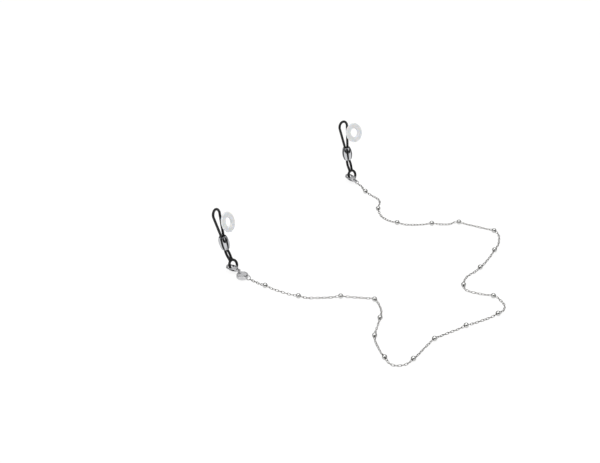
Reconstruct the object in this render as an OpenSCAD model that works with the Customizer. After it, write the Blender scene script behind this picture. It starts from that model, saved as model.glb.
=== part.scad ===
// Eyeglass retainer strap: a fine ball-and-link chain that hangs between two rubber loops.
// Each loop goes over one arm of a pair of spectacles, is drawn tight with an adjuster bead,
// and is held on a clasp at one end of the chain. A soft stopper ring sits behind each loop.
// +Y is the way the wearer faces, +X is the wearer's right, +Z is up.
// The origin is the middle of the left loop's eye, where the left arm goes through.

/* [Fit on the spectacles] */
// Distance between the two loops, across the head
loop_spacing = 132.5; // [124:0.5:140]
// How far the right loop sits in front of the left one
right_forward = 11; // [4:0.5:20]
// Height of the left loop's eye above the table
left_height = 32.5; // [32.5:0.5:34]
// How much higher the right loop's eye is
right_raise = 1; // [1:0.5:3]
// Lean of the left loop, its top towards the front
left_lean = 15.5; // [10:0.5:17]
// Lean of the right loop, its top towards the front
right_lean = 12; // [6:0.5:14]
// Turn of the left loop about the vertical
left_turn = 10; // [0:1:12]
// Turn of the right loop about the vertical
right_turn = -6; // [-12:1:0]

/* [Rubber loops] */
// Diameter of the rubber strand
strand_d = 1.5; // [1.3:0.1:1.6]
// Radius of the eye's arch, to the middle of the strand
arch_r = 3.3; // [3.3:0.05:3.5]
// Height of the arch's centre above the middle of the eye
arch_rise = 2.05; // [1.5:0.05:2.5]
// Angle at which the two strands run together
leg_angle = 9; // [9:0.5:10]
// Half the distance between the strands where they run side by side
strand_half = 1.05; // [1:0.05:1.1]
// Length of a loop from the middle of its eye to the end ring's centre, along the strand
loop_len = 31.1; // [30.6:0.1:31.1]
// Bend in the left loop below its bead, where the clasp pulls it back
left_bend = 13; // [8:1:16]
// Bend in the right loop below its bead
right_bend = 10; // [6:1:16]
// Radius of the end ring, to the middle of its rubber
ring_r = 2.9; // [2.8:0.05:2.95]
// Diameter of the end ring's rubber
ring_wire = 1.6; // [1.5:0.05:1.65]
// Twist of the left end ring about the strand
left_ring_twist = -10; // [-15:1:0]

/* [Adjuster beads] */
// Length of an adjuster bead
bead_len = 8.3; // [7.7:0.1:8.9]
// Largest diameter of an adjuster bead
bead_d = 6.4; // [6:0.1:7]
// Diameter of an adjuster bead at its ends
bead_end_d = 4.5; // [4.3:0.1:4.8]
// Distance from the middle of an eye down to the bead's middle
bead_drop = 16.2; // [15.5:0.1:17]
// Lengthwise flutes round an adjuster bead
flutes = 6; // [4:1:8]
// Depth of the flutes
flute_depth = 0.35; // [0.2:0.05:0.5]

/* [Stopper rings] */
// Outer diameter of a stopper ring
stopper_d = 12.2; // [11.6:0.2:13]
// Diameter of a stopper ring's hole
stopper_hole_d = 5.5; // [5:0.1:6]
// Thickness of a stopper ring
stopper_t = 1.4; // [1.2:0.1:2]
// Lean of the stopper rings, their tops towards the front
stopper_lean = 23; // [15:1:30]
// Turn of the stopper rings towards each other, with the spectacle arms
stopper_turn = 11; // [0:1:12]

/* [Clasps] */
// Size of the clasps, as a share of the size below
clasp_size = 0.92; // [0.9:0.01:0.94]
// Inner radius of the clasp's hook
hook_r = 1.75; // [1.7:0.05:1.8]
// Width of the metal round the hook
hook_wall = 0.95; // [0.9:0.05:1]
// Thickness of the hook and of the tail eye
hook_t = 1.2; // [1:0.1:1.3]
// Thickness of the clasp's body
clasp_t = 2.2; // [2.1:0.1:2.4]
// Distance from the hook's centre to the tail eye
tail_y = 6.5; // [6:0.1:6.5]
// Thickness of the lever
lever_t = 0.9; // [0.8:0.05:0.95]
// Slope of the left clasp, down towards its tail
left_clasp_pitch = 5; // [3:1:6]
// Slope of the right clasp, down towards its tail
right_clasp_pitch = 10; // [6:1:12]
// Swing of the left clasp about the vertical
left_clasp_yaw = 8; // [4:1:12]
// Swing of the right clasp about the vertical
right_clasp_yaw = -6; // [-8:1:0]

/* [Tag and jump rings] */
// Diameter of the round tag
tag_d = 7; // [6.6:0.2:7.6]
// Thickness of the round tag
tag_t = 2.1; // [1.8:0.1:2.3]
// Distance of each hole from the tag's middle
tag_hole_at = 2.35; // [2.2:0.05:2.4]
// Radius of the two larger jump rings, to the middle of the wire
jump_r = 1.6; // [1.5:0.05:1.65]
// Wire of the two larger jump rings
jump_wire = 0.45; // [0.4:0.05:0.5]
// Radius of the small jump ring on the right clasp, to the middle of the wire
small_jump_r = 1.2; // [1.15:0.05:1.3]
// Wire of the small jump ring
small_jump_wire = 0.4; // [0.35:0.05:0.45]

/* [Chain] */
// Width of the chain's links, across
chain_d = 1.5; // [1.3:0.1:1.7]
// Diameter of the ball beads on the chain
ball_d = 3; // [2.6:0.1:3.4]

/* [Hidden] */
$fn = 48;
table_z = -left_height;

// Each loop: the middle of its eye, lean, turn, bend, and the end ring's twist
LEFT = [[0, 0, 0], left_lean, left_turn, left_bend, left_ring_twist];
RIGHT = [[loop_spacing, right_forward, right_raise], right_lean, right_turn, right_bend, 0];

// From the end ring the strand runs up, bends, spreads out along a leg, goes over the arch
// and comes back down. The bend's corner lies a little below the bead.
corner = bead_drop + 5.5;
stem_len = loop_len - corner;
stem_bend_r = 6;
strand_sides = 12;
bend_r = 8;
leg_len = (arch_r * cos(leg_angle) - strand_half - bend_r * (1 - cos(leg_angle))) / sin(leg_angle);
bend_z = arch_rise - (arch_r + bend_r) * sin(leg_angle) - leg_len * cos(leg_angle);
function arc(x, z, r, from, to, steps) =
    [for (i = [0:steps]) let (a = from + (to - from) * i / steps) [x + r * cos(a), 0, z + r * sin(a)]];
function stem_end(x, loop) = let (t = stem_len - sqrt(pow(ring_r, 2) - pow(strand_half, 2)))
    [x, -t * sin(loop[3]), -corner - t * cos(loop[3])];
function stem_bend(x, loop, from, to, steps) = let (top = corner - stem_bend_r * tan(loop[3] / 2))
    [for (i = [0:steps]) let (a = from + (to - from) * i / steps)
        [x, stem_bend_r * (cos(a) - 1), -top - stem_bend_r * sin(a)]];
function strand_path(loop) = concat(
    [stem_end(strand_half, loop)],
    stem_bend(strand_half, loop, loop[3], 0, 3),
    arc(strand_half + bend_r, bend_z, bend_r, 180, 180 - leg_angle, 3),
    arc(0, arch_rise, arch_r, -leg_angle, 180 + leg_angle, 16),
    arc(-strand_half - bend_r, bend_z, bend_r, leg_angle, 0, 3),
    stem_bend(-strand_half, loop, 0, loop[3], 3),
    [stem_end(-strand_half, loop)]
);

// The barrel of an adjuster bead is an arc turned about its axis
bead_arc_r = (pow(bead_len / 2, 2) + pow((bead_d - bead_end_d) / 2, 2)) / (bead_d - bead_end_d);
flute_tool_r = 0.9;
bore_gap = 0.1;

stopper_edge = 0.5;

// The clasp's lever turns about the rivet, and its gate's tip is cut to an arc about it
pivot = [0.2, -2.75];
gate_reach = 4.3;
gate_x = -0.9;
gate_gap = 0.08;
slot_t = 1;
slot_top = -0.9;
slot_end = -4.3;
shank_end = -5.2;
scoop = 0.55;
tail_r = 1.2;
tail_hole_r = 0.7;
rivet_r = 0.4;
rivet_head_r = 0.62;
rivet_head_t = 0.12;
spring_x = 1.3;
spring_d = 0.8;
spring_wire = 0.16;
spring_turns = 4;
spring_top = -3.12;

function turned(v, yaw) = [v[0] * cos(yaw) - v[1] * sin(yaw), v[0] * sin(yaw) + v[1] * cos(yaw), v[2]];
function down(lean, yaw) = turned([0, -sin(lean), -cos(lean)], yaw);
function ring_centre(loop) = loop[0] + corner * down(loop[1], loop[2])
    + stem_len * down(loop[1] + loop[3], loop[2]);
// The ring's own rightward direction, after its twist about the strand
function ring_right(loop) = let (lean = loop[1] + loop[3])
    cos(loop[4]) * turned([1, 0, 0], loop[2])
    + sin(loop[4]) * turned([0, cos(lean), -sin(lean)], loop[2]);

// Each clasp: the centre of its hook, slope and swing. The end ring's rubber passes through the
// hook, a little to the left of its centre, because it crosses the hook at a slant.
ring_in_hook = [-0.1, 0.1];
function hook_on(loop, pitch, yaw) = ring_centre(loop) - ring_r * ring_right(loop)
    - turned([ring_in_hook[0], ring_in_hook[1] * cos(pitch), ring_in_hook[1] * sin(pitch)], yaw);
LEFT_CLASP = [hook_on(LEFT, left_clasp_pitch, left_clasp_yaw), left_clasp_pitch, left_clasp_yaw];
RIGHT_CLASP = [hook_on(RIGHT, right_clasp_pitch, right_clasp_yaw), right_clasp_pitch, right_clasp_yaw];
function tail_hole(clasp) = clasp[0] + clasp_size * tail_y * down(90 - clasp[1], clasp[2]);
left_tail = tail_hole(LEFT_CLASP);
right_tail = tail_hole(RIGHT_CLASP);

// The tag lies on its two jump rings, level with the table. Each ring is turned about the vertical.
tag_hole_r = 0.6;
countersink = 0.45;
tag_edge = 0.35;
link_z = table_z + 1.9;
tag_z = table_z + 1.8;
clasp_link_yaw = -40;
tag_link_yaw = 20;
right_link_yaw = 10;
function past(hole, radius, yaw) =
    hole + turned([0, -sqrt(pow(radius, 2) - pow(hole[2] - link_z, 2)), link_z - hole[2]], yaw);
function before(link, radius, z, yaw) =
    link + turned([0, -sqrt(pow(radius, 2) - pow(z - link_z, 2)), z - link_z], yaw);
clasp_link = past(left_tail, jump_r, clasp_link_yaw);
tag_at = before(clasp_link, jump_r, tag_z, clasp_link_yaw) - [0, tag_hole_at, 0];
tag_link = past(tag_at - [0, tag_hole_at, 0], jump_r, tag_link_yaw);
right_link = past(right_tail, small_jump_r, right_link_yaw);

// The stopper rings, behind their loops' eyes
left_stopper_at = LEFT[0] + [1.2, -7.3, -0.5];
right_stopper_at = RIGHT[0] + [0.8, -7.7, 0.2];

// The chain's route over the table, from the tag's jump ring to the right clasp's.
// Each point is x, y, and 1 where a ball bead sits.
ROUTE = [
    [-1, -26.4, 0], [-1, -31.5, 0], [-1, -37.5, 1], [3, -59.5, 1], [9, -68.5, 0],
    [18.5, -78.5, 1], [24.5, -86.5, 0], [28.5, -95.5, 1], [23, -104.5, 0], [15.5, -109.5, 1],
    [-0.5, -118, 1], [-8, -126.5, 0], [-13.5, -135, 1], [-16, -142, 0], [-12, -147, 0],
    [-4.5, -148, 1], [18.5, -145.5, 1], [40.5, -151.5, 1], [62, -158.5, 1], [71, -157, 0],
    [75, -151, 0], [75.5, -146, 1], [71, -131.5, 0], [74, -126, 1], [83, -122, 0],
    [96, -122.5, 1], [117.5, -118, 1], [129, -113.5, 0], [136, -105, 1], [130.5, -82.5, 1],
    [125, -78.5, 0], [118.5, -70.5, 1], [110, -61.5, 0], [105.5, -53.5, 1], [105.5, -42.5, 0],
    [111.5, -34, 1], [121, -27.5, 0], [123.5, -14.5, 1], [127.6, -8.5, 0], [128.6, -5.3, 0]
];
last = len(ROUTE) - 1;
rings_per_leg = 2;
tube_sides = 8;
chain_z = table_z + chain_d / 2 + 0.05;
function on_table(p) = [p[0], p[1], p[2] == 1 ? table_z + ball_d / 2 : chain_z];
function stop(i) = on_table(ROUTE[max(0, min(last, i))]);
function curve(a, b, c, d, t) =
    0.5 * (2 * b + (c - a) * t + (2 * a - 5 * b + 4 * c - d) * t * t
           + (3 * b - a - 3 * c + d) * t * t * t);
function along(i, t) = curve(stop(i - 1), stop(i), stop(i + 1), stop(i + 2), t);
// Between its beads the chain lies on the table
path = [
    for (i = [0:last - 1], k = [0:rings_per_leg - 1]) let (p = along(i, k / rings_per_leg))
        k == 0 ? p : [p[0], p[1], chain_z],
    stop(last)
];
function heading(p, i) = p[min(len(p) - 1, i + 1)] - p[max(0, i - 1)];
function square_to(way, v) = let (w = v - way * (way * v) / (way * way)) w / norm(w);

// Places its children in a loop's own frame: Z up the loop, Y through its eye
module in_loop(loop) {
    translate(loop[0]) rotate([-loop[1], 0, loop[2]]) children();
}

// Places its children in a clasp's own frame: Y towards the hook, Z through its thickness
module in_clasp(clasp) {
    translate(clasp[0]) rotate([clasp[1], 0, clasp[2]]) scale(clasp_size) children();
}

// Part of a round rod, bent in the XZ plane from one angle on by a sweep
module bent_rod(radius, d, from, sweep) {
    rotate([90, 0, 0]) rotate([0, 0, from]) rotate_extrude(angle = sweep)
        translate([radius, 0]) circle(d = d);
}

// A tube swept along points, with flat sides and ends; side lies nearly across the tube, and is
// level where none is given
module swept_tube(points, d, sides, side = undef) {
    n = len(points);
    rings = [for (i = [0:n - 1]) let (
        way = heading(points, i),
        across = square_to(way, side == undef ? [-way[1], way[0], 0] : side),
        up = cross(way, across) / norm(way)
    ) for (k = [0:sides - 1]) let (a = (k + 0.5) * 360 / sides)
        points[i] + d / 2 * (cos(a) * across + sin(a) * up)];
    faces = concat(
        [[for (k = [0:sides - 1]) k]],
        [[for (k = [sides - 1:-1:0]) (n - 1) * sides + k]],
        [for (i = [0:n - 2], k = [0:sides - 1]) let (next = (k + 1) % sides)
            [i * sides + k, (i + 1) * sides + k, (i + 1) * sides + next, i * sides + next]]
    );
    polyhedron(points = rings, faces = faces, convexity = 10);
}

// The strand of a rubber loop; its two ends run into the end ring
module rubber_strand(loop) {
    color([0.05, 0.05, 0.055]) in_loop(loop)
        swept_tube(strand_path(loop), strand_d, strand_sides, [0, 1, 0]);
}

// The moulded ring that joins the strand's two ends and takes the clasp's hook
module end_ring(loop) {
    color([0.05, 0.05, 0.055]) in_loop(loop) translate([0, 0, -corner]) rotate([-loop[3], 0, 0])
        translate([0, 0, -stem_len]) rotate([0, 0, loop[4]]) bent_rod(ring_r, ring_wire, 0, 360);
}

module adjuster_bead(loop) {
    arc_x = bead_d / 2 - bead_arc_r;
    color([0.8, 0.81, 0.83]) in_loop(loop) translate([0, 0, -bead_drop]) difference() {
        rotate_extrude() intersection() {
            translate([arc_x, 0]) circle(r = bead_arc_r, $fn = 180);
            translate([0, -bead_len / 2]) square([bead_d, bead_len]);
        }
        for (i = [0:flutes - 1]) rotate([0, 0, (i + 0.5) * 360 / flutes]) translate([arc_x, 0, 0])
            bent_rod(bead_arc_r + flute_tool_r - flute_depth, 2 * flute_tool_r, -45, 90);
        for (side = [-1, 1]) translate([side * strand_half, 0, -bead_len])
            cylinder(h = 2 * bead_len, d = strand_d + 2 * bore_gap);
        translate([-strand_half, -strand_d / 2 - bore_gap, -bead_len])
            cube([2 * strand_half, strand_d + 2 * bore_gap, 2 * bead_len]);
    }
}

module stopper_ring(at, turn) {
    inner = stopper_hole_d / 2;
    outer = stopper_d / 2;
    color([0.93, 0.94, 0.97, 0.8]) translate(at) rotate([90 - stopper_lean, 0, turn]) rotate_extrude() union() {
        translate([inner, stopper_edge - stopper_t / 2])
            square([outer - inner, stopper_t - 2 * stopper_edge]);
        translate([inner + stopper_edge, -stopper_t / 2])
            square([outer - inner - 2 * stopper_edge, stopper_t]);
        for (x = [inner + stopper_edge, outer - stopper_edge], y = [-1, 1])
            translate([x, y * (stopper_t / 2 - stopper_edge)]) circle(r = stopper_edge);
    }
}

// The region that the lever's gate sweeps, left of gate_x and within reach of the pivot
module gate_region(reach, edge) {
    intersection() {
        translate(pivot) circle(r = reach, $fn = 96);
        translate([-2 * hook_r - 2, slot_top]) square([2 * hook_r + 2 + edge, 2 * hook_r + 2]);
    }
}

module clasp_body() {
    outer = hook_r + hook_wall;
    shank = [[-2.55, slot_top], [2.55, slot_top], [2.35, -2.9], [1.35, shank_end],
             [-1.35, shank_end], [-2.35, -2.9]];
    color([0.78, 0.79, 0.8]) difference() {
        union() {
            linear_extrude(hook_t, center = true) difference() {
                circle(r = outer);
                gate_region(gate_reach + gate_gap, gate_x + gate_gap);
            }
            linear_extrude(clasp_t, center = true) polygon(shank);
            linear_extrude(hook_t, center = true) union() {
                translate([0, -tail_y]) circle(r = tail_r);
                translate([-tail_r, -tail_y]) square([2 * tail_r, tail_y + shank_end + 0.5]);
            }
        }
        cylinder(h = 2 * clasp_t, r = hook_r, center = true);
        for (side = [-1, 1]) translate([0, 0, side * (hook_t + clasp_t) / 2])
            cylinder(h = clasp_t, r = hook_r + scoop, center = true);
        translate([-4, slot_end, -slot_t / 2]) cube([8, slot_top - slot_end, slot_t]);
        translate([pivot[0], pivot[1], 0]) cylinder(h = 2 * clasp_t, r = rivet_r, center = true);
        translate([0, -tail_y, 0]) cylinder(h = 2 * clasp_t, r = tail_hole_r, center = true);
    }
}

module clasp_lever() {
    arm = [[-2.1, -1.7], [-2.4, slot_top], [-2.4, -0.6], [-1.8, -0.6], [-1.5, -1.1], [0.5, -1.9],
           [-0.1, -3.6], [-1.2, -2.9]];
    trigger = [[0.2, -2.2], [3, -2.35], [3, -3.1], [0.2, -3.1]];
    color([0.7, 0.71, 0.73]) difference() {
        union() {
            linear_extrude(lever_t, center = true) intersection() {
                circle(r = hook_r + hook_wall - 0.05);
                gate_region(gate_reach, gate_x);
            }
            linear_extrude(lever_t, center = true) polygon(arm);
            linear_extrude(lever_t, center = true) polygon(trigger);
            translate([pivot[0], pivot[1], 0]) cylinder(h = lever_t, r = 0.95, center = true);
            translate([3, -2.725, 0]) cylinder(h = lever_t, r = 0.5, center = true);
        }
        cylinder(h = 2 * lever_t, r = hook_r + 0.05, center = true);
        translate([pivot[0], pivot[1], 0]) cylinder(h = 2 * lever_t, r = rivet_r + 0.05, center = true);
    }
}

module clasp_rivet() {
    color([0.85, 0.85, 0.86]) translate([pivot[0], pivot[1], 0]) union() {
        cylinder(h = clasp_t + rivet_head_t, r = rivet_r, center = true);
        for (side = [-1, 1]) translate([0, 0, side * (clasp_t + rivet_head_t) / 2])
            cylinder(h = rivet_head_t, r = rivet_head_r, center = true);
    }
}

// The spring between the slot's end and the lever's heel
module clasp_spring() {
    steps = 12;
    coil_r = (spring_d - spring_wire) / 2;
    low = slot_end + spring_wire / 2 + 0.02;
    high = spring_top - spring_wire / 2;
    coil = [for (i = [0:spring_turns * steps]) let (t = i / (spring_turns * steps), a = 360 * i / steps)
        [coil_r * cos(a), coil_r * sin(a), low + (high - low) * t]];
    color([0.6, 0.6, 0.62]) translate([spring_x, 0, 0]) rotate([-90, 0, 0]) swept_tube(coil, spring_wire, 6);
}

module round_tag() {
    half = tag_t / 2;
    color([0.75, 0.75, 0.76]) translate(tag_at) difference() {
        rotate_extrude() union() {
            translate([0, -half]) square([tag_d / 2 - tag_edge, tag_t]);
            translate([0, tag_edge - half]) square([tag_d / 2, tag_t - 2 * tag_edge]);
            for (y = [-1, 1]) translate([tag_d / 2 - tag_edge, y * (half - tag_edge)]) circle(r = tag_edge);
        }
        for (y = [-1, 1]) translate([0, y * tag_hole_at, 0]) {
            cylinder(h = 2 * tag_t, r = tag_hole_r, center = true);
            for (side = [0, 180]) rotate([side, 0, 0]) translate([0, 0, half - countersink])
                cylinder(h = countersink + 0.1, r1 = tag_hole_r, r2 = tag_hole_r + countersink);
        }
    }
}

// A ring of round wire that stands upright, its opening across the chain
module jump_ring(at, radius, wire, yaw) {
    color([0.82, 0.82, 0.83]) translate(at) rotate([0, 90, yaw]) rotate_extrude()
        translate([radius, 0]) circle(d = wire);
}

module chain() {
    color([0.72, 0.72, 0.73]) swept_tube(path, chain_d, tube_sides);
}

module ball_beads() {
    color([0.8, 0.8, 0.81]) for (p = ROUTE) if (p[2] == 1) translate(on_table(p)) sphere(d = ball_d);
}

rubber_strand(LEFT);  // left_rubber_strand
rubber_strand(RIGHT);  // right_rubber_strand
end_ring(LEFT);  // left_end_ring
end_ring(RIGHT);  // right_end_ring
adjuster_bead(LEFT);  // left_adjuster_bead
adjuster_bead(RIGHT);  // right_adjuster_bead
stopper_ring(left_stopper_at, stopper_turn);  // left_stopper_ring
stopper_ring(right_stopper_at, -stopper_turn);  // right_stopper_ring
in_clasp(LEFT_CLASP) clasp_body();  // left_clasp_body
in_clasp(RIGHT_CLASP) clasp_body();  // right_clasp_body
in_clasp(LEFT_CLASP) clasp_lever();  // left_clasp_lever
in_clasp(RIGHT_CLASP) clasp_lever();  // right_clasp_lever
in_clasp(LEFT_CLASP) clasp_rivet();  // left_clasp_rivet
in_clasp(RIGHT_CLASP) clasp_rivet();  // right_clasp_rivet
in_clasp(LEFT_CLASP) clasp_spring();  // left_clasp_spring
in_clasp(RIGHT_CLASP) clasp_spring();  // right_clasp_spring
round_tag();  // tag
jump_ring(clasp_link, jump_r, jump_wire, clasp_link_yaw);  // clasp_jump_ring
jump_ring(tag_link, jump_r, jump_wire, tag_link_yaw);  // tag_jump_ring
jump_ring(right_link, small_jump_r, small_jump_wire, right_link_yaw);  // right_jump_ring
chain();
ball_beads();
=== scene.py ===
"""Looks of an eyeglass retainer strap: two rubber loops joined by a fine ball-and-link chain.

Lengths are in millimetres until a mesh is made, and angles are in degrees. +Y is the way the
wearer faces, +X is the wearer's right, +Z is up, and the origin is the middle of the left
loop's eye, as in the CAD frame.
"""
import math
import random

import bmesh
import bpy
import numpy as np
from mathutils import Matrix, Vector


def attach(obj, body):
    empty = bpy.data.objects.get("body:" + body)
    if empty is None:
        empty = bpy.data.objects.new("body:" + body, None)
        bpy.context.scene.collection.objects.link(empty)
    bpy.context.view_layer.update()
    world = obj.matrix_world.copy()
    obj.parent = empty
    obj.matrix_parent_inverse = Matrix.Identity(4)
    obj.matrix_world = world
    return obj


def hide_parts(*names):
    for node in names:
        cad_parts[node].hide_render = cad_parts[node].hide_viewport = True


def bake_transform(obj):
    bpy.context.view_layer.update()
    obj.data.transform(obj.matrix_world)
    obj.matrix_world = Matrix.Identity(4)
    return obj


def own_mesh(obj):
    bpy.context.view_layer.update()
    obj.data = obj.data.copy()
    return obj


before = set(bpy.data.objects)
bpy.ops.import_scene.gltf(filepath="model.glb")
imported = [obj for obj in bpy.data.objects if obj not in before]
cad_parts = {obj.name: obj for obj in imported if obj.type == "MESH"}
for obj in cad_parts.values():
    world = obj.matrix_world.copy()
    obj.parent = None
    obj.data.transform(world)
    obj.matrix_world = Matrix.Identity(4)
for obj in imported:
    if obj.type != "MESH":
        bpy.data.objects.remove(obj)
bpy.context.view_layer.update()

MM = 0.001
TABLE_Z = -32.5


def vec(*values):
    return np.array(values, float)


def unit(v):
    return v / np.linalg.norm(v)


UP = vec(0, 0, 1)


def rotation(x, y, z):
    """A turn about X, then Y, then Z."""
    cx, cy, cz = [math.cos(math.radians(a)) for a in (x, y, z)]
    sx, sy, sz = [math.sin(math.radians(a)) for a in (x, y, z)]
    about_x = np.array([[1, 0, 0], [0, cx, -sx], [0, sx, cx]])
    about_y = np.array([[cy, 0, sy], [0, 1, 0], [-sy, 0, cy]])
    about_z = np.array([[cz, -sz, 0], [sz, cz, 0], [0, 0, 1]])
    return about_z @ about_y @ about_x


# ---------------------------------------------------------------- camera

CAMERA_AT = (-639.5, -597.7, 520.5)
CAMERA_AIM = (60.5, -12.7, -32.5)
LENS, SENSOR = 103.98, 36


def towards(place, aim):
    """The turn of a camera or lamp at place that looks at aim."""
    return (Vector(aim) - Vector(place)).to_track_quat("-Z", "Y").to_euler()


def make_camera():
    data = bpy.data.cameras.new("camera")
    data.sensor_width = SENSOR
    data.lens = LENS
    data.clip_start, data.clip_end = 0.01, 20
    camera = bpy.data.objects.new("camera", data)
    bpy.context.collection.objects.link(camera)
    camera.location = Vector(CAMERA_AT) * MM
    camera.rotation_euler = towards(CAMERA_AT, CAMERA_AIM)
    bpy.context.scene.camera = camera


make_camera()


# ---------------------------------------------------------------- mesh helpers

def add_piece(name, data, body, material, stands_for):
    """A new piece from a mesh in metres. A piece that blends two bodies has no body here."""
    piece = bpy.data.objects.new(name, data)
    bpy.context.collection.objects.link(piece)
    data.materials.clear()
    data.materials.append(material)
    data.shade_smooth()
    if body:
        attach(piece, body)
    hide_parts(*stands_for)
    return piece


def mesh_of(parts, name, sharp=None):
    """One mesh from several (points, faces) in millimetres, with edges over an angle sharp."""
    points, faces, first = [], [], 0
    for part_points, part_faces in parts:
        points.append(np.asarray(part_points) * MM)
        faces += [[first + i for i in face] for face in part_faces]
        first += len(part_points)
    data = bpy.data.meshes.new(name)
    data.from_pydata(np.vstack(points).tolist(), [], faces)
    shape = bmesh.new()
    shape.from_mesh(data)
    bmesh.ops.remove_doubles(shape, verts=shape.verts, dist=1e-4 * MM)
    bmesh.ops.recalc_face_normals(shape, faces=shape.faces)
    shape.to_mesh(data)
    shape.free()
    data.shade_smooth()
    if sharp:
        data.set_sharp_from_angle(angle=math.radians(sharp))
    return data


def evaluated(piece):
    """The mesh of a piece with its modifiers applied."""
    bpy.context.view_layer.update()
    graph = bpy.context.evaluated_depsgraph_get()
    return bpy.data.meshes.new_from_object(piece.evaluated_get(graph))


def remeshed(data, voxel, rounds):
    """A mesh's parts made one skin of small quads, with its edges rounded by smoothing."""
    piece = bpy.data.objects.new("remesh", data)
    bpy.context.collection.objects.link(piece)
    skin = piece.modifiers.new("skin", "REMESH")
    skin.mode = "VOXEL"
    skin.voxel_size = voxel * MM
    soften = piece.modifiers.new("soften", "SMOOTH")
    soften.factor = 0.5
    soften.iterations = rounds
    made = evaluated(piece)
    bpy.data.objects.remove(piece)
    return made


def placed(part, axes, at):
    """A part turned from its own frame and moved to its place."""
    points, faces = part
    return np.asarray(points) @ axes.T + at, faces


def grid_faces(rows, columns, close_rows=False):
    """Quads over a grid of points whose rows close into rings, and whose columns may too."""
    faces = []
    for i in range(rows if close_rows else rows - 1):
        a, b = i * columns, (i + 1) % rows * columns
        for k in range(columns):
            n = (k + 1) % columns
            faces.append([a + k, a + n, b + n, b + k])
    return faces


def tube(points, radius, sides, closed=False, across=None):
    """A round tube along points. across is a direction that lies across all of it."""
    p = np.asarray(points, float)
    if closed:
        way = np.roll(p, -1, 0) - np.roll(p, 1, 0)
    else:
        way = np.gradient(p, axis=0)
    way /= np.linalg.norm(way, axis=1)[:, None]
    if across is None:
        u = [unit(np.cross(way[0], UP if abs(way[0][2]) < 0.9 else vec(1, 0, 0)))]
        for t in way[1:]:
            u.append(unit(u[-1] - t * (t @ u[-1])))
        u = np.array(u)
    else:
        u = across - way * (way @ across)[:, None]
        u /= np.linalg.norm(u, axis=1)[:, None]
    v = np.cross(way, u)
    a = np.linspace(0, 2 * math.pi, sides, endpoint=False)
    r = np.broadcast_to(radius, len(p))[:, None, None]
    cos, sin = np.cos(a)[None, :, None], np.sin(a)[None, :, None]
    rings = p[:, None] + r * (cos * u[:, None] + sin * v[:, None])
    faces = grid_faces(len(p), sides, closed)
    if not closed:
        faces += [list(range(sides))[::-1], [(len(p) - 1) * sides + k for k in range(sides)]]
    return rings.reshape(-1, 3), faces


def lathe(profile, segments):
    """A closed profile of (radius, height) turned about Z."""
    a = np.linspace(0, 2 * math.pi, segments, endpoint=False)
    rows = [np.stack([r * np.cos(a), r * np.sin(a), np.full(segments, z)], 1) for r, z in profile]
    return np.vstack(rows), grid_faces(len(rows), segments, True)


def round_corner(centre, radius, start, end, steps):
    """Points of a profile that go round a corner's centre."""
    turns = [math.radians(a) for a in np.linspace(start, end, steps)]
    return [(centre[0] + radius * math.cos(a), centre[1] + radius * math.sin(a)) for a in turns]


def mirrored(profile):
    """A profile's points in reverse, below the middle plane."""
    return [(r, -z) for r, z in reversed(profile)]


# ---------------------------------------------------------------- materials

class Finish:
    """A Principled material with its node tree."""

    def __init__(self, name, **inputs):
        self.material = bpy.data.materials.new(name)
        self.material.use_nodes = True
        self.tree = self.material.node_tree
        self.skin = self.tree.nodes["Principled BSDF"]
        self.place = self.add("ShaderNodeTexCoord").outputs["Object"]
        for key, value in inputs.items():
            self.skin.inputs[key.replace("_", " ")].default_value = value

    def add(self, kind, inputs=(), **settings):
        node = self.tree.nodes.new(kind)
        for key, value in settings.items():
            setattr(node, key, value)
        for key, value in dict(inputs).items():
            if isinstance(value, bpy.types.NodeSocket):
                self.tree.links.new(value, node.inputs[key])
            else:
                node.inputs[key].default_value = value
        return node

    def noise(self, size, detail=3, stretch=(1, 1, 1)):
        """Noise with features of about that size, in millimetres."""
        where = self.add("ShaderNodeMapping", {"Vector": self.place, "Scale": stretch})
        return self.add("ShaderNodeTexNoise", {
            "Vector": where.outputs[0], "Scale": 1 / (size * MM), "Detail": detail}).outputs[0]

    def spread(self, value, low, high, start=0.3, end=0.7):
        """Low to high, as a value goes from start to end."""
        return self.add("ShaderNodeMapRange", {
            "Value": value, "From Min": start, "From Max": end,
            "To Min": low, "To Max": high}).outputs[0]

    def blend(self, factor, first, second):
        """A colour between two, through the Mix node's colour sockets."""
        node = self.add("ShaderNodeMix", data_type="RGBA")
        self.tree.links.new(factor, node.inputs[0])
        node.inputs[6].default_value = (*first, 1)
        node.inputs[7].default_value = (*second, 1)
        return node.outputs[2]

    def into(self, name, value):
        self.tree.links.new(value, self.skin.inputs[name])

    def bump(self, height, depth, strength, over=None):
        """A bump of that depth in millimetres, on its own or over another."""
        inputs = {"Height": height, "Strength": strength, "Distance": depth * MM}
        if over is not None:
            inputs["Normal"] = over
        node = self.add("ShaderNodeBump", inputs)
        self.into("Normal", node.outputs[0])
        return node.outputs[0]


# Polished metal darkens a little at glancing angles
EDGE_TINT = (0.42, 0.42, 0.43, 1)
# Near-black colour painted into the beads' flutes as dark reflection and shade
FLUTE_PAINTED_DARK = (0.012, 0.012, 0.013)


def scratched(finish, depth):
    """The finished material, with hairline scratches over faint ripples."""
    hairlines = finish.noise(0.12, 2, (1, 0.12, 1))
    ripples = finish.bump(finish.noise(0.9, 1), depth * 2, 0.6)
    finish.bump(hairlines, depth, 0.5, ripples)
    return finish.material


def metal(name, light, dark, smooth, rough, grain=0.6, scratch=0.004):
    """Polished metal with faint tarnish."""
    finish = Finish(name, Metallic=1.0, Specular_Tint=EDGE_TINT)
    tarnish = finish.spread(finish.noise(1.4, 4), 0, 1)
    finish.into("Base Color", finish.blend(tarnish, dark, light))
    finish.into("Roughness", finish.spread(finish.noise(grain, 5), smooth, rough))
    return scratched(finish, scratch)


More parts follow.
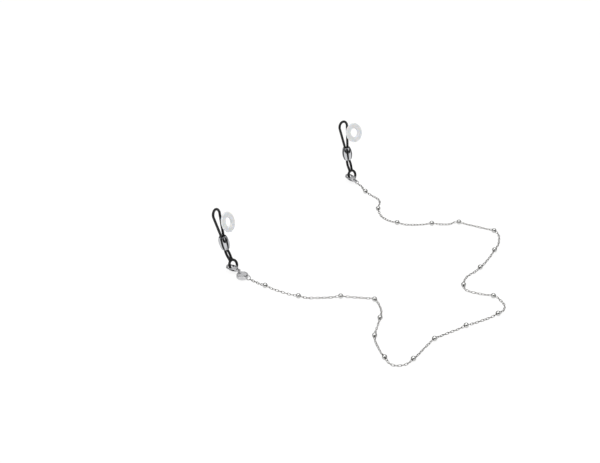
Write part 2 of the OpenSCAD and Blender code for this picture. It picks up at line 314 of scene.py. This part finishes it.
def flute_shaded_metal(name, light, smooth, scratch):
    """Polished metal with painted dark reflection and shade in its flutes, laid by the mesh's
    groove attribute.
    """
    finish = Finish(name, Metallic=1.0, Specular_Tint=EDGE_TINT)
    depth = finish.add("ShaderNodeAttribute", attribute_name="groove").outputs["Fac"]
    # Painted reflection and shade: where the groove attribute is high the colour goes near-black,
    # rougher and less metallic
    black = finish.spread(depth, 0, 1, 0.12, 0.4)
    finish.into("Base Color", finish.blend(black, light, FLUTE_PAINTED_DARK))
    finish.into("Roughness", finish.spread(black, smooth, 0.45, 0, 1))
    finish.into("Metallic", finish.spread(black, 1, 0.2, 0, 1))
    return scratched(finish, scratch)


def rubber():
    """Satin black rubber with a faint grey bloom."""
    finish = Finish("satin_black_rubber", Specular_IOR_Level=0.32)
    bloom = finish.spread(finish.noise(0.8, 5), 0, 1, 0.45, 0.75)
    finish.into("Base Color", finish.blend(bloom, (0.004, 0.004, 0.005), (0.016, 0.016, 0.018)))
    finish.into("Roughness", finish.spread(finish.noise(0.35, 3), 0.30, 0.46))
    coarse = finish.bump(finish.noise(0.5, 2), 0.03, 0.5)
    finish.bump(finish.noise(0.07, 2), 0.012, 0.6, coarse)
    return finish.material


def silicone():
    """Soft, clear and slightly milky."""
    finish = Finish("milky_silicone", IOR=1.41, Subsurface_Weight=0.75, Subsurface_Scale=0.0016,
                    Subsurface_Radius=(0.9, 1.0, 1.15), Transmission_Weight=0.10,
                    Coat_Weight=0.25, Coat_Roughness=0.2)
    cloud = finish.spread(finish.noise(2.2, 3), 0, 1)
    finish.into("Base Color", finish.blend(cloud, (0.88, 0.90, 0.95), (0.94, 0.955, 0.99)))
    finish.into("Roughness", finish.spread(finish.noise(0.5, 4), 0.28, 0.42))
    finish.bump(finish.noise(0.3, 3), 0.01, 0.5)
    return finish.material


RUBBER = rubber()
SILICONE = silicone()
BEAD_METAL = flute_shaded_metal("bead_metal", (0.58, 0.59, 0.61), 0.08, 0.002)
CLASP_METAL = metal("clasp_metal", (0.54, 0.54, 0.55), (0.36, 0.36, 0.37), 0.10, 0.20)
LEVER_METAL = metal("lever_metal", (0.44, 0.45, 0.46), (0.30, 0.30, 0.31), 0.12, 0.22)
RIVET_METAL = metal("rivet_metal", (0.50, 0.50, 0.52), (0.38, 0.38, 0.40), 0.22, 0.32)
SPRING_STEEL = metal("spring_steel", (0.45, 0.45, 0.47), (0.32, 0.32, 0.34), 0.22, 0.32)
TAG_METAL = metal("tag_metal", (0.62, 0.62, 0.63), (0.57, 0.57, 0.58), 0.24, 0.30, scratch=0.001)
LINK_METAL = metal("link_metal", (0.42, 0.42, 0.42), (0.26, 0.26, 0.26), 0.12, 0.20)
CHAIN_METAL = metal("chain_metal", (0.33, 0.315, 0.295), (0.15, 0.14, 0.13), 0.14, 0.26, grain=0.9)
BALL_METAL = metal("ball_metal", (0.66, 0.66, 0.65), (0.50, 0.50, 0.49), 0.05, 0.12)


# ---------------------------------------------------------------- chain

CHAIN_D = 1.5
BALL_D, BALL_HOLE_R, BALL_RIM = 3.0, 0.55, 0.09
LINK_LEN, LINK_WIDTH, LINK_WIRE = 2.6, 1.4, 0.3
# Links roll to one side and the other by turns, give or take some play
LINK_ROLLS, ROLL_PLAY = (-18, 72), 18
# How deep an end link goes into its bead, and how much of a link a stretch may do without
LINK_IN_BALL, LINK_SPARE = 0.3, 0.02
# How far along the chain a bead holds its links off the table
BALL_HOLDS = 3.2

# The route over the table: x, y, and 1 where a ball bead sits
ROUTE = [
    (-1, -26.4, 0), (-1, -31.5, 0), (-1, -37.5, 1), (3, -59.5, 1), (9, -68.5, 0),
    (18.5, -78.5, 1), (24.5, -86.5, 0), (28.5, -95.5, 1), (23, -104.5, 0), (15.5, -109.5, 1),
    (-0.5, -118, 1), (-8, -126.5, 0), (-13.5, -135, 1), (-16, -142, 0), (-12, -147, 0),
    (-4.5, -148, 1), (18.5, -145.5, 1), (40.5, -151.5, 1), (62, -158.5, 1), (71, -157, 0),
    (75, -151, 0), (75.5, -146, 1), (71, -131.5, 0), (74, -126, 1), (83, -122, 0),
    (96, -122.5, 1), (117.5, -118, 1), (129, -113.5, 0), (136, -105, 1), (130.5, -82.5, 1),
    (125, -78.5, 0), (118.5, -70.5, 1), (110, -61.5, 0), (105.5, -53.5, 1), (105.5, -42.5, 0),
    (111.5, -34, 1), (121, -27.5, 0), (123.5, -14.5, 1), (127.6, -8.5, 0), (128.6, -5.3, 0),
]
# Points of the line between one place in the route and the next
STEPS = 24
# How far the end links reach past the route, into their jump rings
FIRST_REACH, LAST_REACH = 0.73, 1.33


def chain_line():
    """Points along the route, the distance of each from the start, and the beads' distances."""
    p = np.array([(x, y) for x, y, _ in ROUTE], float)
    q = np.vstack([p[:1], p, p[-1:]])
    t = np.arange(STEPS)[:, None] / STEPS
    line = []
    for a, b, c, d in zip(q, q[1:], q[2:], q[3:]):
        line.append(0.5 * (2 * b + (c - a) * t + (2 * a - 5 * b + 4 * c - d) * t ** 2
                           + (3 * b - a - 3 * c + d) * t ** 3))
    line = np.vstack(line + [p[-1:]])
    along = np.concatenate([[0], np.cumsum(np.linalg.norm(np.diff(line, axis=0), axis=1))])
    beads = [along[i * STEPS] for i, stop in enumerate(ROUTE) if stop[2]]
    # Between beads the links rest on the table; a bead holds its own end links up
    rest, held = TABLE_Z + CHAIN_D / 2, TABLE_Z + BALL_D / 2
    near = np.min(np.abs(along[:, None] - np.array(beads)), axis=1)
    height = rest + (held - rest) * np.exp(-(near / BALL_HOLDS) ** 2)
    return np.column_stack([line, height]), along, beads


LINE, ALONG, BEADS = chain_line()


def on_line(s):
    """The point at a distance along the chain, also a little way past its ends."""
    inside = min(max(s, 0), ALONG[-1])
    point = np.array([np.interp(inside, ALONG, LINE[:, k]) for k in range(3)])
    end = 0 if s < 0 else -1
    ahead = unit(LINE[1] - LINE[0]) if end == 0 else unit(LINE[-1] - LINE[-2])
    return point + (s - inside) * ahead


def link(middle, way, roll):
    """One oval link of round wire."""
    side = unit(np.cross(UP, way))
    across = math.cos(roll) * side + math.sin(roll) * np.cross(way, side)
    r = (LINK_WIDTH - LINK_WIRE) / 2
    half = (LINK_LEN - LINK_WIRE) / 2 - r
    turn = np.radians(np.linspace(-90, 90, 8))
    ends = [(sign * half + sign * r * np.cos(turn), sign * r * np.sin(turn)) for sign in (1, -1)]
    x, y = np.concatenate([e[0] for e in ends]), np.concatenate([e[1] for e in ends])
    path = middle + x[:, None] * way + y[:, None] * across
    return tube(path, LINK_WIRE / 2, 8, closed=True, across=np.cross(way, across))


def chain_parts():
    """The links of each stretch between two beads, or between a bead and an end ring."""
    dice = random.Random(4)
    pitch = LINK_LEN - 2 * LINK_WIRE
    grip = BALL_D / 2 - LINK_IN_BALL
    stops = [s + side * grip for s in BEADS for side in (-1, 1)]
    stops = [-FIRST_REACH] + stops + [ALONG[-1] + LAST_REACH]
    parts, turn = [], 0
    for start, end in zip(stops[::2], stops[1::2]):
        count = math.ceil((end - start) / pitch - LINK_SPARE)
        step = (end - start) / count
        for i in range(count):
            a, b = on_line(start + i * step), on_line(start + (i + 1) * step)
            roll = math.radians(LINK_ROLLS[turn % 2] + dice.uniform(-ROLL_PLAY, ROLL_PLAY))
            parts.append(link((a + b) / 2, unit(b - a), roll))
            turn += 1
    return parts


def ball_parts():
    """Round beads, each with a rimmed hole where the links go in."""
    r, rim_at = BALL_D / 2, BALL_HOLE_R + BALL_RIM
    mouth = math.degrees(math.asin(rim_at / (r - BALL_RIM)))
    turns = [math.radians(a) for a in np.linspace(mouth, 180 - mouth, 22)]
    shell = [(r * math.sin(a), r * math.cos(a)) for a in turns]
    high = (r - BALL_RIM) * math.cos(math.radians(mouth))
    top = round_corner((rim_at, high), BALL_RIM, 180, 90 - mouth, 5)
    profile = top + shell[1:-1] + mirrored(top)
    parts = []
    for s in BEADS:
        way = unit(on_line(s + 0.5) - on_line(s - 0.5))
        side = unit(np.cross(UP, way))
        axes = np.column_stack([side, np.cross(way, side), way])
        parts.append(placed(lathe(profile, 36), axes, on_line(s)))
    return parts


chain = add_piece("chain_links", mesh_of(chain_parts(), "chain_links"), "strap",
                  CHAIN_METAL, ["chain"])
balls = add_piece("chain_ball_beads", mesh_of(ball_parts(), "chain_ball_beads"), "strap",
                  BALL_METAL, ["ball_beads"])


# ---------------------------------------------------------------- loops

# The two strands' thickness, and half the distance between their middles in the bead
STRAND_D, STRAND_HALF = 1.58, 1.05
# The eye: its arch, and the legs that splay from the bead up to it
ARCH_R, ARCH_RISE = 3.3, 2.05
LEG_ANGLE = 9
BEND_R = 8
# Below the eye's middle: the bead, then the corner where the strands lean back
BEAD_DROP = 16.2
CORNER = BEAD_DROP + 5.5
# From the corner to the end ring's middle, and how far the strands bow apart on the way
STEM_LEN = 31.1 - CORNER
STEM_BEND_R = 6
STEM_BOW = 0.32
# How far the strands reach into the end ring, and where they are close together again
STEM_REACH, STEM_CLOSE = 0.1, 1
RING_R, RING_WIRE = 2.9, 1.6
STEM_VOXEL, STEM_ROUNDS = 0.11, 5


class Loop:
    """A loop's own frame: the eye's middle is the origin, and the strands hang down -Z."""

    def __init__(self, side, eye, lean, turn, bend, twist):
        self.side, self.eye = side, vec(*eye)
        self.axes = rotation(-lean, 0, turn)
        self.bend, self.twist = bend, twist

    def place(self, part):
        return placed(part, self.axes, self.eye)

    def point(self, *local):
        """A point of the loop in the row's frame, in metres."""
        return tuple((self.eye + self.axes @ vec(*local)) * MM)


LEFT = Loop("left", (0, 0, 0), 15.5, 10, 13, -10)
RIGHT = Loop("right", (132.5, 11, 1), 12, -6, 10, 0)


def arc(x, z, r, start, end, steps):
    """Points round a centre in the loop's own plane."""
    a = np.radians(np.linspace(start, end, steps + 1))
    return np.column_stack([x + r * np.cos(a), np.zeros(steps + 1), z + r * np.sin(a)])


def eye_path():
    """The strand from inside the bead, over the arch that takes the arm, and back."""
    lean = math.radians(LEG_ANGLE)
    leg = (ARCH_R * math.cos(lean) - STRAND_HALF - BEND_R * (1 - math.cos(lean))) / math.sin(lean)
    bend_z = ARCH_RISE - (ARCH_R + BEND_R) * math.sin(lean) - leg * math.cos(lean)
    half = np.vstack([
        np.linspace(vec(STRAND_HALF, 0, -BEAD_DROP), vec(STRAND_HALF, 0, bend_z), 6)[:-1],
        arc(STRAND_HALF + BEND_R, bend_z, BEND_R, 180, 180 - LEG_ANGLE, 6),
    ])
    over = arc(0, ARCH_RISE, ARCH_R, -LEG_ANGLE, 180 + LEG_ANGLE, 40)
    climb = np.linspace(half[-1], over[0], 18)[1:-1]
    half = np.vstack([half, climb])
    return np.vstack([half, over, (half * [-1, 1, 1])[::-1]])


def stem_paths(loop):
    """The two strands from inside the bead down to the end ring, a little apart between them."""
    lean = math.radians(loop.bend)
    top = CORNER - STEM_BEND_R * math.tan(lean / 2)
    drop = STEM_LEN - math.sqrt(RING_R ** 2 - STRAND_HALF ** 2) + STEM_REACH
    a = np.linspace(0, lean, 8)
    bend = np.column_stack(
        [np.zeros(8), STEM_BEND_R * (np.cos(a) - 1), -top - STEM_BEND_R * np.sin(a)])
    end = vec(0, -drop * math.sin(lean), -CORNER - drop * math.cos(lean))
    line = np.vstack([
        np.linspace(vec(0, 0, -BEAD_DROP), bend[0], 8)[:-1],
        bend,
        np.linspace(bend[-1], end, 8)[1:],
    ])
    along = np.concatenate([[0], np.linalg.norm(np.diff(line, axis=0), axis=1).cumsum()])
    free = (along - BEAD_LEN / 2) / (along[-1] - BEAD_LEN / 2 - STEM_CLOSE)
    free = np.clip(free, 0, 1)
    apart = STRAND_HALF + STEM_BOW * np.sin(np.pi * free) ** 2
    return [line + np.outer(apart, vec(side, 0, 0)) for side in (1, -1)]


def end_ring_path(loop):
    a = np.linspace(0, 2 * math.pi, 64, endpoint=False)
    ring = np.column_stack([RING_R * np.cos(a), np.zeros(64), RING_R * np.sin(a)])
    turned = ring @ rotation(0, 0, loop.twist).T + vec(0, 0, -STEM_LEN)
    return turned @ rotation(-loop.bend, 0, 0).T + vec(0, 0, -CORNER)


def make_loop(loop):
    """The eye, and the stem and end ring as one skin."""
    eye_name, stem_name = loop.side + "_loop_eye", loop.side + "_loop_stem"
    strand, ring, bead = loop.side + "_rubber_strand", loop.side + "_end_ring", loop.side + "_bead"
    eye = tube(eye_path(), STRAND_D / 2, 20, across=vec(0, 1, 0))
    parts = [tube(line, STRAND_D / 2, 20, across=vec(1, 0, 0)) for line in stem_paths(loop)]
    parts.append(tube(end_ring_path(loop), RING_WIRE / 2, 24, closed=True))
    stem = mesh_of([loop.place(part) for part in parts], stem_name)
    stem = remeshed(stem, STEM_VOXEL, STEM_ROUNDS)
    stem.name = stem_name
    eye = add_piece(eye_name, mesh_of([loop.place(eye)], eye_name), None,
                    RUBBER, [strand])
    stem = add_piece(stem_name, stem, None, RUBBER, [strand, ring])
    loop.point(0, 0, ARCH_RISE)
    loop.point(0, 0, -BEAD_DROP + 4)
    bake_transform(eye)
    loop.point(0, 0, -BEAD_DROP - 1.5)
    loop.point(0, 0, -CORNER - 6)
    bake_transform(stem)


# ---------------------------------------------------------------- adjuster beads

BEAD_LEN, BEAD_D, BEAD_END_D = 8.3, 6.4, 4.5
FLUTES, FLUTE_DEPTH, FLUTE_HALF = 6, 0.36, 18
BORE_R = STRAND_D / 2 + 0.1
BEAD_EDGE = 0.13
BEAD_COLUMNS = 144
# The painted dark reflection and shade in the flutes lies only outside this radius, which clears
# the bore
PAINTED_DARK_R, PAINTED_DARK_FADE = 2.0, 0.2


def bead_part(phase):
    """A fluted barrel round a long bore that holds both strands."""
    half = BEAD_LEN / 2
    curve = (half ** 2 + ((BEAD_D - BEAD_END_D) / 2) ** 2) / (BEAD_D - BEAD_END_D)
    a = np.linspace(0, 2 * math.pi, BEAD_COLUMNS, endpoint=False)
    flute = FLUTE_DEPTH * flute_at(a - phase)

    def barrel(z):
        return BEAD_D / 2 - curve + math.sqrt(curve ** 2 - z ** 2) - flute

    c, s = np.abs(np.cos(a)), np.abs(np.sin(a))
    flat = BORE_R / np.maximum(s, 1e-9)
    bore = np.where(flat * c <= STRAND_HALF, flat,
                    STRAND_HALF * c + np.sqrt(np.maximum(BORE_R ** 2 - (STRAND_HALF * s) ** 2, 0)))
    shoulder = half - BEAD_EDGE
    rim = barrel(shoulder) - BEAD_EDGE
    turn = np.radians(np.linspace(0, 90, 5))
    side = [(barrel(z), z) for z in np.linspace(-shoulder, shoulder, 32)]
    end = [(rim + BEAD_EDGE * math.cos(t), shoulder + BEAD_EDGE * math.sin(t)) for t in turn[1:]]
    end += [(bore + BEAD_EDGE * (1 - math.sin(t)), shoulder + BEAD_EDGE * math.cos(t))
            for t in turn]
    rows = side + end + mirrored(end)
    points = [np.column_stack([r * np.cos(a), r * np.sin(a), np.full(BEAD_COLUMNS, z)])
              for r, z in rows]
    return np.vstack(points), grid_faces(len(rows), BEAD_COLUMNS, True)


def flute_at(angle):
    """How deep in a flute a direction round the bead lies, from 0 to 1."""
    step = 360 / FLUTES
    off = np.abs((np.degrees(angle) + step / 2) % step - step / 2)
    return np.cos(np.clip(off / FLUTE_HALF, 0, 1) * math.pi / 2) ** 2


def make_bead(loop, flute_angle):
    """The bead, with a groove attribute that says how deep in a flute each of its points is."""
    phase = math.radians(flute_angle)
    points, faces = bead_part(phase)
    part = loop.place((points + vec(0, 0, -BEAD_DROP), faces))
    name = loop.side + "_fluted_bead"
    data = mesh_of([part], name, 50)
    where = np.array([(np.array(v.co) / MM - loop.eye) @ loop.axes for v in data.vertices])
    # Beyond the bore, the groove attribute also says where the bead metal paints dark reflection
    # and shade
    outer = np.clip((np.hypot(where[:, 0], where[:, 1]) - PAINTED_DARK_R) / PAINTED_DARK_FADE, 0, 1)
    groove = flute_at(np.arctan2(where[:, 1], where[:, 0]) - phase) * outer
    depths = data.attributes.new("groove", "FLOAT", "POINT").data
    depths.foreach_set("value", groove.astype(np.float32))
    add_piece(name, data, loop.side + "_bead", BEAD_METAL,
              [loop.side + "_adjuster_bead"])


# ---------------------------------------------------------------- stopper rings

STOPPER_R, STOPPER_HOLE_R, STOPPER_T, STOPPER_EDGE = 6.1, 2.75, 1.4, 0.5
STOPPER_TILT = 67
RIDGES, RIDGE_DEPTH = 4, 0.07


def make_stopper(side, at, turn):
    """A soft washer with fine moulded rings on both faces."""
    half = STOPPER_T / 2
    inner, outer = STOPPER_HOLE_R + STOPPER_EDGE, STOPPER_R - STOPPER_EDGE
    face = []
    for r in np.linspace(inner, outer, 8 * RIDGES + 1):
        wave = 0.5 - 0.5 * math.cos(2 * math.pi * RIDGES * (r - inner) / (outer - inner))
        face.append((r, half - RIDGE_DEPTH * wave))
    top = (round_corner((inner, half - STOPPER_EDGE), STOPPER_EDGE, 180, 90, 6)[:-1] + face
           + round_corner((outer, half - STOPPER_EDGE), STOPPER_EDGE, 90, 0, 6)[1:])
    part = placed(lathe(top + mirrored(top), 96), rotation(STOPPER_TILT, 0, turn), vec(*at))
    name = side + "_silicone_stopper"
    add_piece(name, mesh_of([part], name), side + "_stopper", SILICONE,
              [side + "_stopper_ring"])


# ---------------------------------------------------------------- clasps

# A clasp is laid out full size in its own frame, from its hook, and then made this much smaller
CLASP_SIZE = 0.92
CLASP_T, CLASP_HALF_WIDTH = 2.2, 2.6
CLASP_VOXEL = 0.05
# How much thinner each part is at its sides, and how often it is smoothed
CASTING_CROWN, CASTING_ROUNDS = 0.34, 7
GATE_CROWN, GATE_ROUNDS = 0.12, 5
PIVOT = vec(0.2, -2.75, 0)
RIVET_R, RIVET_HEAD_R, RIVET_DOME, RIVET_SINK = 0.4, 0.62, 0.2, 0.02
SPRING_X, SPRING_LOW, SPRING_TOP = 1.3, -4.2, -3.2
SPRING_R, SPRING_WIRE, SPRING_TURNS = 0.32, 0.16, 4


class Clasp:
    """A clasp's own frame: the middle of its hook is the origin, and its tail is down -Y."""

    def __init__(self, side, hook, pitch, yaw):
        self.side, self.hook = side, vec(*hook)
        self.axes = rotation(pitch, 0, yaw)

    def place(self, part):
        return placed(part, self.axes * CLASP_SIZE, self.hook)

    def local(self, data):
        """A mesh's points in the clasp's own frame, in millimetres."""
        points = np.zeros(len(data.vertices) * 3)
        data.vertices.foreach_get("co", points)
        return (points.reshape(-1, 3) / MM - self.hook) @ self.axes / CLASP_SIZE

    def put_back(self, data, points):
        """The same points back into the mesh, in metres."""
        points = (points * CLASP_SIZE) @ self.axes.T + self.hook
        data.vertices.foreach_set("co", points.ravel() * MM)
        data.update()


LEFT_CLASP = Clasp("left", (-0.991, -10.273, -29.421), 5, 8)
RIGHT_CLASP = Clasp("right", (128.865, 3.206, -28.959), 10, -6)


def crowned(clasp, node, name, material, body, crown, rounds):
    """A CAD part with the rounded edges and crowned faces of a cast and tumbled one."""
    data = remeshed(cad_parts[node].data.copy(), CLASP_VOXEL, rounds)
    data.name = name
    points = clasp.local(data)
    aside = np.clip(np.abs(points[:, 0]) / CLASP_HALF_WIDTH, 0, 1)
    points[:, 2] *= 1 - crown * aside ** 2
    clasp.put_back(data, points)
    add_piece(name, data, body, material, [node])


def make_clasp(clasp):
    """The casting, its gate, the domed rivet that holds the gate, and the coil that shuts it."""
    body = clasp.side + "_clasp"
    crowned(clasp, body + "_body", body + "_casting", CLASP_METAL, body,
            CASTING_CROWN, CASTING_ROUNDS)
    crowned(clasp, body + "_lever", body + "_gate", LEVER_METAL,
            clasp.side + "_lever", GATE_CROWN, GATE_ROUNDS)

    under_head = CLASP_T / 2 - RIVET_SINK
    turns = [math.radians(a) for a in np.linspace(0, 90, 7)]
    dome = [(RIVET_HEAD_R * math.cos(a), under_head + RIVET_DOME * math.sin(a)) for a in turns]
    shank = [(RIVET_R, -under_head), (RIVET_R, under_head)]
    points, faces = lathe(shank + dome + mirrored(dome), 28)
    rivet = clasp.place((points + PIVOT, faces))
    add_piece(body + "_pin", mesh_of([rivet], body + "_pin", 50), body,
              RIVET_METAL, [body + "_rivet"])

    a = np.linspace(0, 2 * math.pi * SPRING_TURNS, 24 * SPRING_TURNS)
    along = np.linspace(SPRING_LOW, SPRING_TOP, len(a))
    wound = np.column_stack([SPRING_X + SPRING_R * np.cos(a), along, -SPRING_R * np.sin(a)])
    coil = clasp.place(tube(wound, SPRING_WIRE / 2, 8))
    spring = add_piece(body + "_coil", mesh_of([coil], body + "_coil"), body,
                       SPRING_STEEL, [body + "_spring"])
    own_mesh(spring)


# ---------------------------------------------------------------- tag and jump rings

TAG_AT = vec(-2.125, -20.863, -30.7)
TAG_R, TAG_T, TAG_EDGE = 3.5, 2.1, 0.3
TAG_HOLE_AT, TAG_HOLE_R = 2.35, 0.6
# From the middle out to the raised rim, over the line round the flat face: radius, depth
TAG_FACE = [(0, 0.10), (2.62, 0.10), (2.68, 0.2), (2.76, 0.2), (2.84, 0.03), (2.92, 0)]
# A countersink, from above the face down to the hole: radius beyond the hole's, and height
COUNTERSINK = [(0.94, 0.4), (0.55, 0), (0.35, -0.2), (0.12, -0.45)]
# A jump ring's cut: half its angle, and how far its two ends are out of line
RING_CUT, RING_OFFSET = 2.2, 0.05


def cut(data, tool, name):
    """A mesh with a tool's shape taken out of it."""
    body, cutter = [bpy.data.objects.new(name, d) for d in (data, tool)]
    for piece in (body, cutter):
        bpy.context.collection.objects.link(piece)
    trim = body.modifiers.new("cut", "BOOLEAN")
    trim.object, trim.operation, trim.solver = cutter, "DIFFERENCE", "EXACT"
    made = evaluated(body)
    for piece in (body, cutter):
        bpy.data.objects.remove(piece)
    return made


def make_tag():
    """A blank round tag: flat faces inside a slightly raised rim, and two countersunk holes."""
    half = TAG_T / 2
    top = [(r, half - depth) for r, depth in TAG_FACE]
    top += round_corner((TAG_R - TAG_EDGE, half - TAG_EDGE), TAG_EDGE, 90, 0, 7)
    disc = mesh_of([placed(lathe(top + mirrored(top), 96), np.eye(3), TAG_AT)], "tag")
    drill = [(TAG_HOLE_R + r, half + z) for r, z in COUNTERSINK]
    drill = [(0, drill[0][1])] + drill
    tools = [placed(lathe(drill + mirrored(drill), 40), np.eye(3), TAG_AT + vec(0, y, 0))
             for y in (-TAG_HOLE_AT, TAG_HOLE_AT)]
    data = cut(disc, mesh_of(tools, "drill"), "tag")
    data.name = "blank_tag"
    data.shade_smooth()
    data.set_sharp_from_angle(angle=math.radians(40))
    add_piece("blank_tag", data, "tag", TAG_METAL, ["tag"])


def make_jump_ring(node, body, at, radius, wire, yaw, seam):
    """A ring of round wire whose two cut ends nearly meet, at the angle of its seam."""
    a = np.radians(np.linspace(seam + RING_CUT, seam + 360 - RING_CUT, 84))
    shift = np.linspace(-RING_OFFSET, RING_OFFSET, len(a))
    path = np.column_stack([radius * np.cos(a), radius * np.sin(a), shift])
    part = placed(tube(path, wire / 2, 14, across=UP), rotation(0, 90, yaw), vec(*at))
    name = node + "_wire"
    add_piece(name, mesh_of([part], name, 50), body, LINK_METAL, [node])


for loop, clasp, flute_angle in ((LEFT, LEFT_CLASP, 12.5), (RIGHT, RIGHT_CLASP, 53)):
    make_loop(loop)
    make_bead(loop, flute_angle)
    make_clasp(clasp)
make_stopper("left", (1.2, -7.3, -0.5), 11)
make_stopper("right", (133.3, 3.3, 1.2), -11)
make_tag()
make_jump_ring("clasp_jump_ring", "clasp_ring", (-1.099, -17.289, -30.6), 1.6, 0.45, -40, 160)
make_jump_ring("tag_jump_ring", "tag_ring", (-1.579, -24.713, -30.6), 1.6, 0.45, 20, 200)
make_jump_ring("right_jump_ring", "right_ring", (128.430, -3.673, -30.6), 1.2, 0.4, 10, 150)


# ---------------------------------------------------------------- stage

# Half the side of the floor
FLOOR = 4000
# Each lamp's name, place, size in metres, and power in watts
LAMPS = [("top", (0.1, -0.1, 1.5), (1.2, 0.8), 6), ("key", (-1.2, 0.5, 1.3), (0.8, 0.8), 4.5)]
LAMP_AIM = (0.06, -0.07, -0.03)


def make_floor():
    """A white table lit from below, which keeps the ground white and free of shadows."""
    corners = [(x * FLOOR * MM, y * FLOOR * MM, TABLE_Z * MM)
               for x, y in ((-1, -1), (1, -1), (1, 1), (-1, 1))]
    data = bpy.data.meshes.new("floor")
    data.from_pydata(corners, [], [[0, 1, 2, 3]])
    floor = bpy.data.objects.new("floor", data)
    bpy.context.collection.objects.link(floor)
    finish = Finish("light_table", Roughness=0.9, Specular_IOR_Level=0.0,
                    Emission_Strength=0.88, Emission_Color=(1, 1, 1, 1))
    cloud = finish.noise(40, 2)
    finish.into("Base Color", finish.blend(cloud, (0.15, 0.15, 0.15), (0.17, 0.17, 0.17)))
    data.materials.append(finish.material)


def make_lights():
    """Two soft lamps: one overhead, and one high on the left of the camera."""
    for name, place, size, power in LAMPS:
        data = bpy.data.lights.new(name, "AREA")
        data.shape = "RECTANGLE"
        data.size, data.size_y = size
        data.energy = power
        light = bpy.data.objects.new(name, data)
        bpy.context.collection.objects.link(light)
        light.location = place
        light.rotation_euler = towards(place, LAMP_AIM)


# The dome over the table: the heights its lower edge and its brighter top fade over (the sine of
# an angle above the horizon), and how bright the horizon, the dome and the top's extra light are
DOME_EDGE, TOP_EDGE = (0.30, 0.46), (0.72, 0.92)
HORIZON, DOME, DOME_TOP = 0.04, 0.95, 0.45
# The dark gaps round it: their number, where they start, how they fade, and how bright they are
GAPS, GAP_TURN, GAP_EDGE, GAP_LIGHT = 3, -0.52, (-0.95, -0.6), 0.06
# A dark patch in one fixed direction, as a photographer would make: its cosine's fade, and light
PATCH_WAY, PATCH_EDGE, PATCH_LIGHT = (-0.656, -0.548, 0.518), (0.86, 0.95), 0.04


def make_world():
    """A white room. Metal sees a soft dome with dark gaps, a dark horizon and a dark patch."""
    world = bpy.data.worlds.new("room")
    bpy.context.scene.world = world
    world.use_nodes = True
    tree = world.node_tree
    nodes, join = tree.nodes, tree.links.new
    sky = nodes["Background"]
    way = nodes.new("ShaderNodeTexCoord").outputs["Generated"]

    def maths(kind, a, b=None):
        node = nodes.new("ShaderNodeMath")
        node.operation = kind
        for socket, value in zip(node.inputs, (a, b)):
            if isinstance(value, bpy.types.NodeSocket):
                join(value, socket)
            elif value is not None:
                socket.default_value = value
        return node.outputs[0]

    def ramp(value, start, end, low, high):
        node = nodes.new("ShaderNodeMapRange")
        node.interpolation_type = "SMOOTHSTEP"
        join(value, node.inputs["Value"])
        limits = {"From Min": start, "From Max": end, "To Min": low, "To Max": high}
        for key, number in limits.items():
            node.inputs[key].default_value = number
        return node.outputs[0]

    split = nodes.new("ShaderNodeSeparateXYZ")
    join(way, split.inputs[0])
    height = split.outputs[2]
    dome = ramp(height, *DOME_EDGE, HORIZON, DOME)
    dome = maths("ADD", dome, ramp(height, *TOP_EDGE, 0.0, DOME_TOP))
    around = maths("ARCTAN2", split.outputs[1], split.outputs[0])
    wave = maths("SINE", maths("ADD", maths("MULTIPLY", around, GAPS), GAP_TURN))
    gaps = ramp(wave, *GAP_EDGE, GAP_LIGHT, 1.0)
    facing = nodes.new("ShaderNodeVectorMath")
    facing.operation = "DOT_PRODUCT"
    join(way, facing.inputs[0])
    facing.inputs[1].default_value = Vector(PATCH_WAY)
    patch = ramp(facing.outputs["Value"], *PATCH_EDGE, 1.0, PATCH_LIGHT)
    lit = maths("MULTIPLY", maths("MULTIPLY", dome, gaps), patch)
    # Seen directly, the room is plain white
    ray = nodes.new("ShaderNodeLightPath").outputs["Is Camera Ray"]
    shown = nodes.new("ShaderNodeMix")
    join(ray, shown.inputs[0])
    join(lit, shown.inputs[2])
    shown.inputs[3].default_value = 1.0
    join(shown.outputs[0], sky.inputs["Strength"])
    sky.inputs["Color"].default_value = (1, 1, 1, 1)


make_floor()
make_lights()
make_world()
bpy.context.scene.view_settings.view_transform = "Standard"
